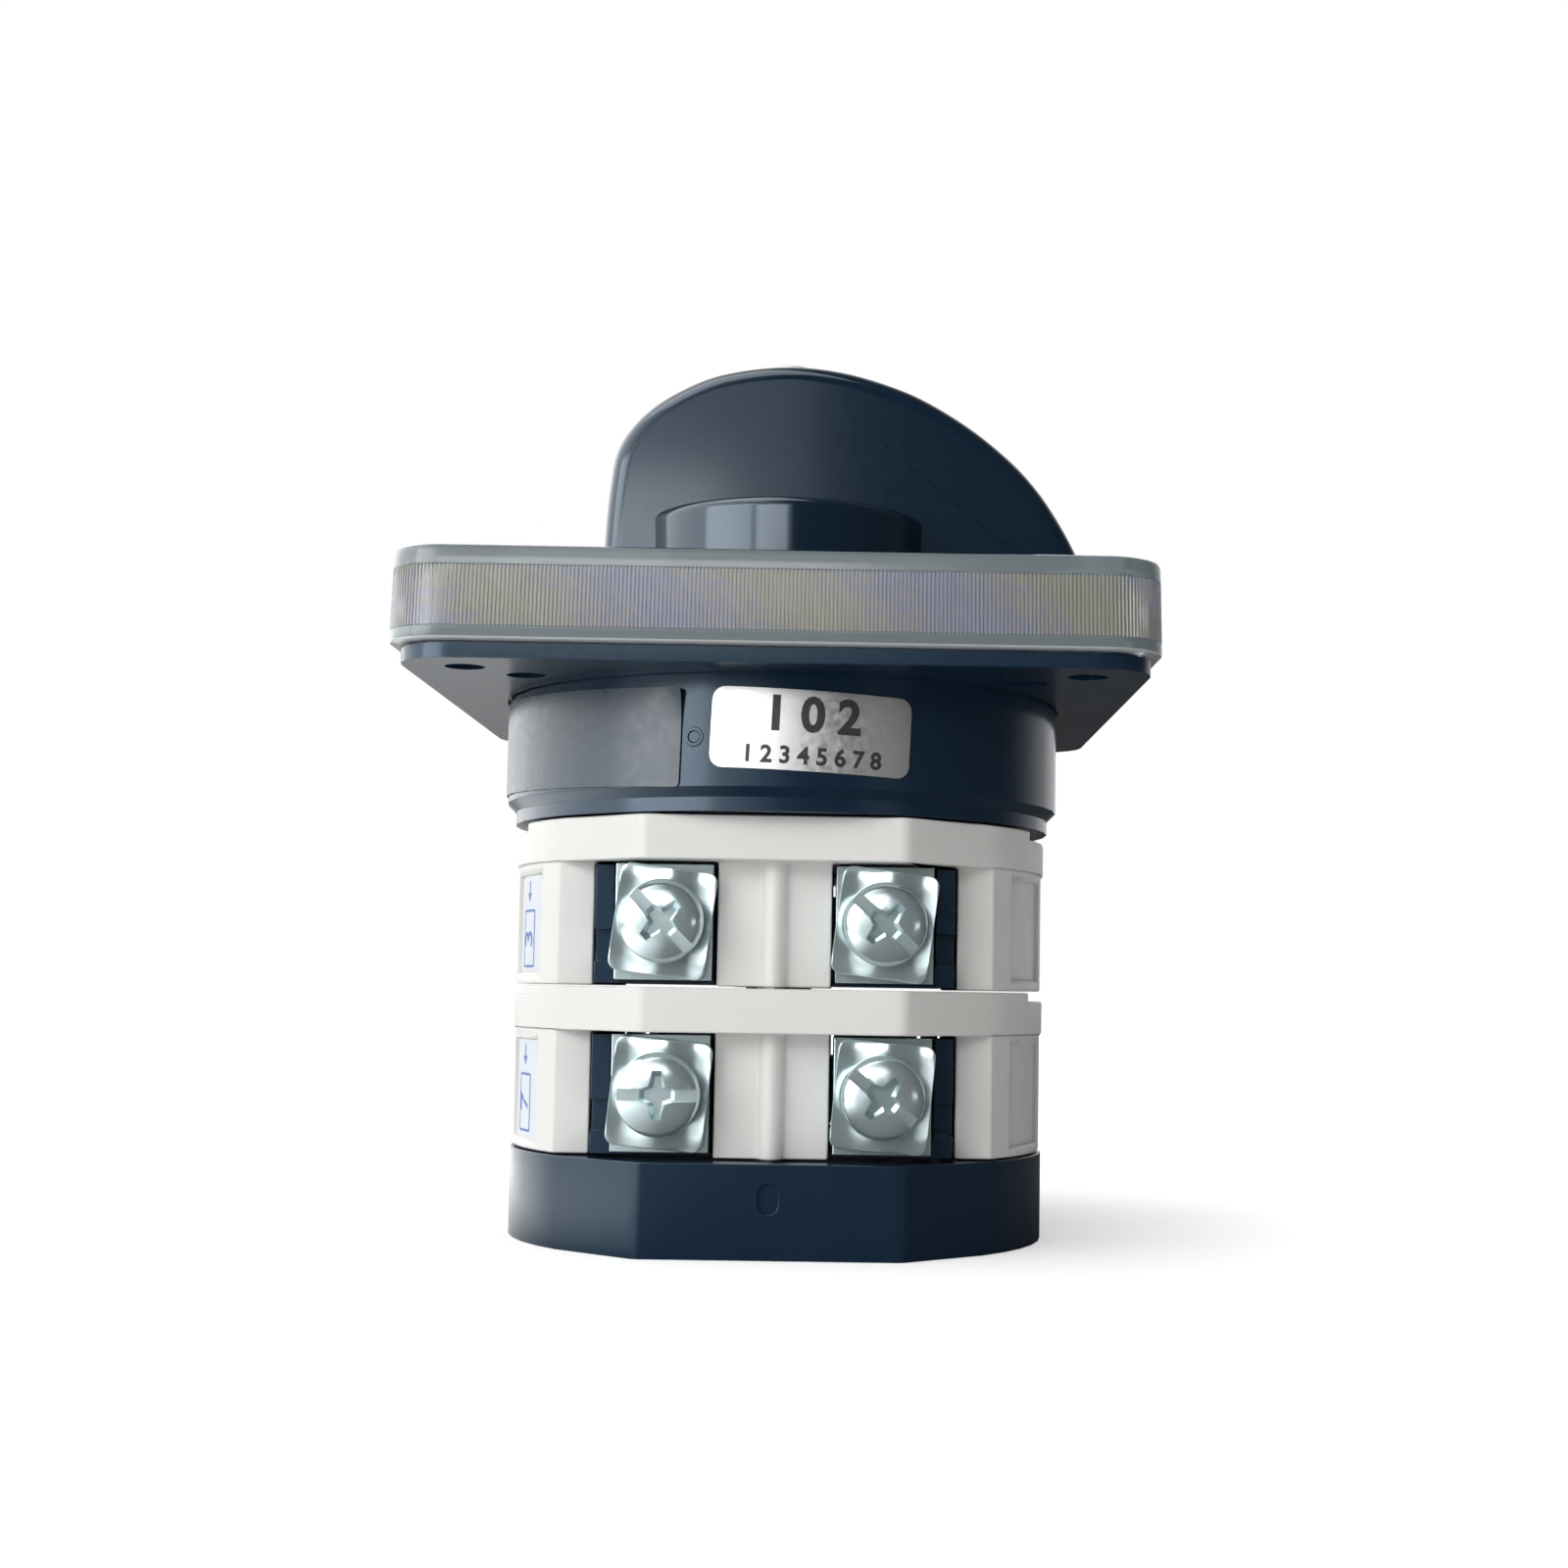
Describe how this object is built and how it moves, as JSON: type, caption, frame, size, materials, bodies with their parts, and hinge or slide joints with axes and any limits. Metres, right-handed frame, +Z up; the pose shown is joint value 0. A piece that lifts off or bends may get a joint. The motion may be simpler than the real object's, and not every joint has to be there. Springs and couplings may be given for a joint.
{
  "type": "changeover cam switch",
  "caption": "Panel-mounted rotary changeover switch: pointer knob, square clear front plate, detent housing, stacked contact stages with screw terminals, and end cap.",
  "frame": {"origin": "on the spindle axis, at the end cap's outer face", "axes": "+Z runs up the spindle to the knob, +X is the way the knob points in its middle position, and -Y faces the viewer of the picture"},
  "size_m": [0.064, 0.064, 0.0818],
  "materials": {
    "navy": "glossy",
    "ivory": "satin",
    "grey": "satin",
    "clear": "clear",
    "sheet": "satin",
    "white": "satin",
    "zinc": "zinc plated",
    "steel": "bright",
    "copper": "silvered"
  },
  "bodies": {
    "housing": {"end_cap": "navy", "detent_housing": "navy", "base_plate": "navy", "lower_housing": "ivory", "upper_housing": "ivory", "lower_block": "navy", "upper_block": "navy", "cover": "clear", "legend_sheet": "sheet", "tie_bolt_front": "steel", "tie_bolt_back": "steel", "tie_nut_front": "steel", "tie_nut_back": "steel", "detent_spring_left": "steel", "detent_spring_right": "steel", "lower_contact_spring_left": "steel", "lower_terminal_left_front": "zinc", "lower_clamp_left_front": "zinc", "lower_screw_left_front": "zinc", "lower_terminal_left_back": "zinc", "lower_clamp_left_back": "zinc", "lower_screw_left_back": "zinc", "lower_contact_spring_right": "steel", "lower_terminal_right_front": "zinc", "lower_clamp_right_front": "zinc", "lower_screw_right_front": "zinc", "lower_terminal_right_back": "zinc", "lower_clamp_right_back": "zinc", "lower_screw_right_back": "zinc", "upper_contact_spring_left": "steel", "upper_terminal_left_front": "zinc", "upper_clamp_left_front": "zinc", "upper_screw_left_front": "zinc", "upper_terminal_left_back": "zinc", "upper_clamp_left_back": "zinc", "upper_screw_left_back": "zinc", "upper_contact_spring_right": "steel", "upper_terminal_right_front": "zinc", "upper_clamp_right_front": "zinc", "upper_screw_right_front": "zinc", "upper_terminal_right_back": "zinc", "upper_clamp_right_back": "zinc", "upper_screw_right_back": "zinc"},
    "rotor": {"knob": "navy", "knob_cap": "white", "knob_screw": "steel", "spindle": "steel", "detent_star": "grey", "upper_cam": "grey", "lower_cam": "grey"},
    "lower_contact_left": {"lower_plunger_left": "grey", "lower_bridge_left": "copper"},
    "lower_contact_right": {"lower_plunger_right": "grey", "lower_bridge_right": "copper"},
    "upper_contact_left": {"upper_plunger_left": "grey", "upper_bridge_left": "copper"},
    "upper_contact_right": {"upper_plunger_right": "grey", "upper_bridge_right": "copper"},
    "detent_left": {"detent_follower_left": "grey"},
    "detent_right": {"detent_follower_right": "grey"}
  },
  "joints": [
    {"name": "knob_turn", "type": "hinge", "parent": "housing", "child": "rotor", "pos_m": [0, 0, 0.05], "axis": [0, 0, 1], "range_deg": [-60, 60]},
    {"name": "lower_contact_left_slide", "type": "slide", "parent": "housing", "child": "lower_contact_left", "axis": [-1, 0, 0], "range_m": [-0.0015, 0.0015], "deforming": ["lower_contact_spring_left"]},
    {"name": "lower_contact_right_slide", "type": "slide", "parent": "housing", "child": "lower_contact_right", "axis": [1, 0, 0], "range_m": [-0.0015, 0.0015], "deforming": ["lower_contact_spring_right"]},
    {"name": "upper_contact_left_slide", "type": "slide", "parent": "housing", "child": "upper_contact_left", "axis": [-1, 0, 0], "range_m": [-0.0015, 0.0015], "deforming": ["upper_contact_spring_left"]},
    {"name": "upper_contact_right_slide", "type": "slide", "parent": "housing", "child": "upper_contact_right", "axis": [1, 0, 0], "range_m": [-0.0015, 0.0015], "deforming": ["upper_contact_spring_right"]},
    {"name": "detent_left_slide", "type": "slide", "parent": "housing", "child": "detent_left", "axis": [-1, 0, 0], "range_m": [0, 0.0007], "stiffness_N_per_m": 500, "deforming": ["detent_spring_left"]},
    {"name": "detent_right_slide", "type": "slide", "parent": "housing", "child": "detent_right", "axis": [1, 0, 0], "range_m": [0, 0.0007], "stiffness_N_per_m": 500, "deforming": ["detent_spring_right"]}
  ],
  "couplings": [
    {"joint": "lower_contact_left_slide", "follows": "knob_turn", "m_per_rad": -0.0014322},
    {"joint": "lower_contact_right_slide", "follows": "knob_turn", "m_per_rad": 0.0014322},
    {"joint": "upper_contact_left_slide", "follows": "knob_turn", "m_per_rad": -0.0014322},
    {"joint": "upper_contact_right_slide", "follows": "knob_turn", "m_per_rad": 0.0014322}
  ]
}
